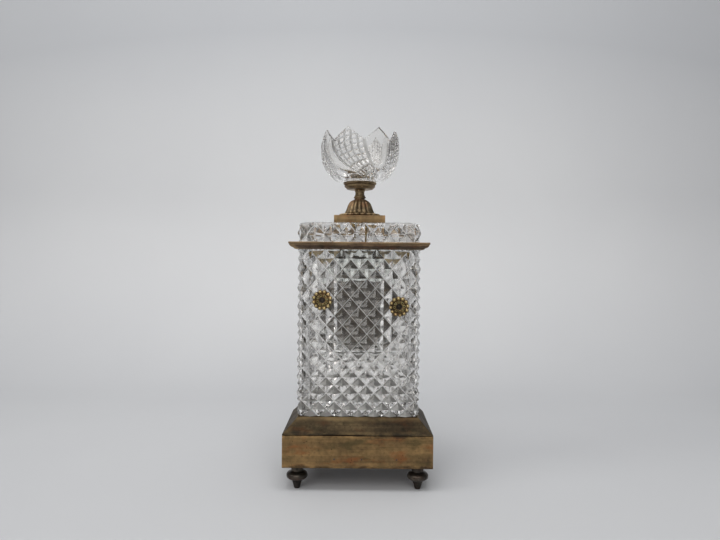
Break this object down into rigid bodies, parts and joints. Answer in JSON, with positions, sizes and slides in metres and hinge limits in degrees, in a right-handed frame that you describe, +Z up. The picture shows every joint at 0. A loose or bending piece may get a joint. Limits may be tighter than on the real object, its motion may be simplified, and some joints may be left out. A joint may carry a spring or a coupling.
{
  "type": "inkwell",
  "caption": "Tall diamond-cut crystal inkwell on a footed brass plinth, with a hinged crystal lid that carries a brass stem and an open tulip cup.",
  "frame": {"origin": "on the table under the middle of the plinth", "axes": "+Z up, the front with its two rosettes looks along -Y, +X to the right seen from the front"},
  "size_m": [0.0996, 0.0684, 0.2413],
  "materials": {
    "aged_brass": "brushed sheet brass with a brown and olive patina, rubbed brighter on the edges",
    "dark_brass": "cast and turned brass with a dark brown patina and rubbed gilt highlights",
    "plain_brass": "plain turned brass, lightly tarnished",
    "cut_crystal": "polished diamond-cut lead crystal",
    "clear_glass": "smooth blown glass",
    "ink": "still dark brown-black ink",
    "stained_wood": "dark stained hardwood block"
  },
  "bodies": {
    "body": {"base_core": "stained_wood", "base_band": "aged_brass", "base_cap": "aged_brass", "base_pin_front_1": "plain_brass", "base_pin_rear_1": "plain_brass", "base_pin_front_2": "plain_brass", "base_pin_rear_2": "plain_brass", "base_pin_front_3": "plain_brass", "base_pin_rear_3": "plain_brass", "base_pin_left": "plain_brass", "base_pin_right": "plain_brass", "foot_front_left": "dark_brass", "foot_front_right": "dark_brass", "foot_rear_left": "dark_brass", "foot_rear_right": "dark_brass", "glass_body": "cut_crystal", "well_plate": "aged_brass", "ink_pot": "clear_glass", "ink": "ink", "body_collar": "dark_brass", "hinge_leaf_body": "aged_brass", "hinge_screw_1": "plain_brass", "hinge_screw_2": "plain_brass", "hinge_pin": "plain_brass", "rosette_left": "aged_brass", "rosette_washer_left": "plain_brass", "rosette_nut_left": "plain_brass", "rosette_right": "aged_brass", "rosette_washer_right": "plain_brass", "rosette_nut_right": "plain_brass"},
    "lid": {"lid_frame": "dark_brass", "hinge_leaf_lid": "aged_brass", "lid_glass": "cut_crystal", "lid_plinth": "aged_brass", "leaf_disc": "dark_brass", "bell_foot": "dark_brass", "stem": "dark_brass", "saucer": "dark_brass", "tulip_cup": "cut_crystal", "tie_rod": "plain_brass", "rod_washer": "plain_brass", "rod_nut": "plain_brass"}
  },
  "joints": [
    {"name": "lid_hinge", "type": "hinge", "parent": "body", "child": "lid", "pos_m": [0, 0.0316, 0.1624], "axis": [-1, 0, 0], "range_deg": [0, 100]}
  ]
}
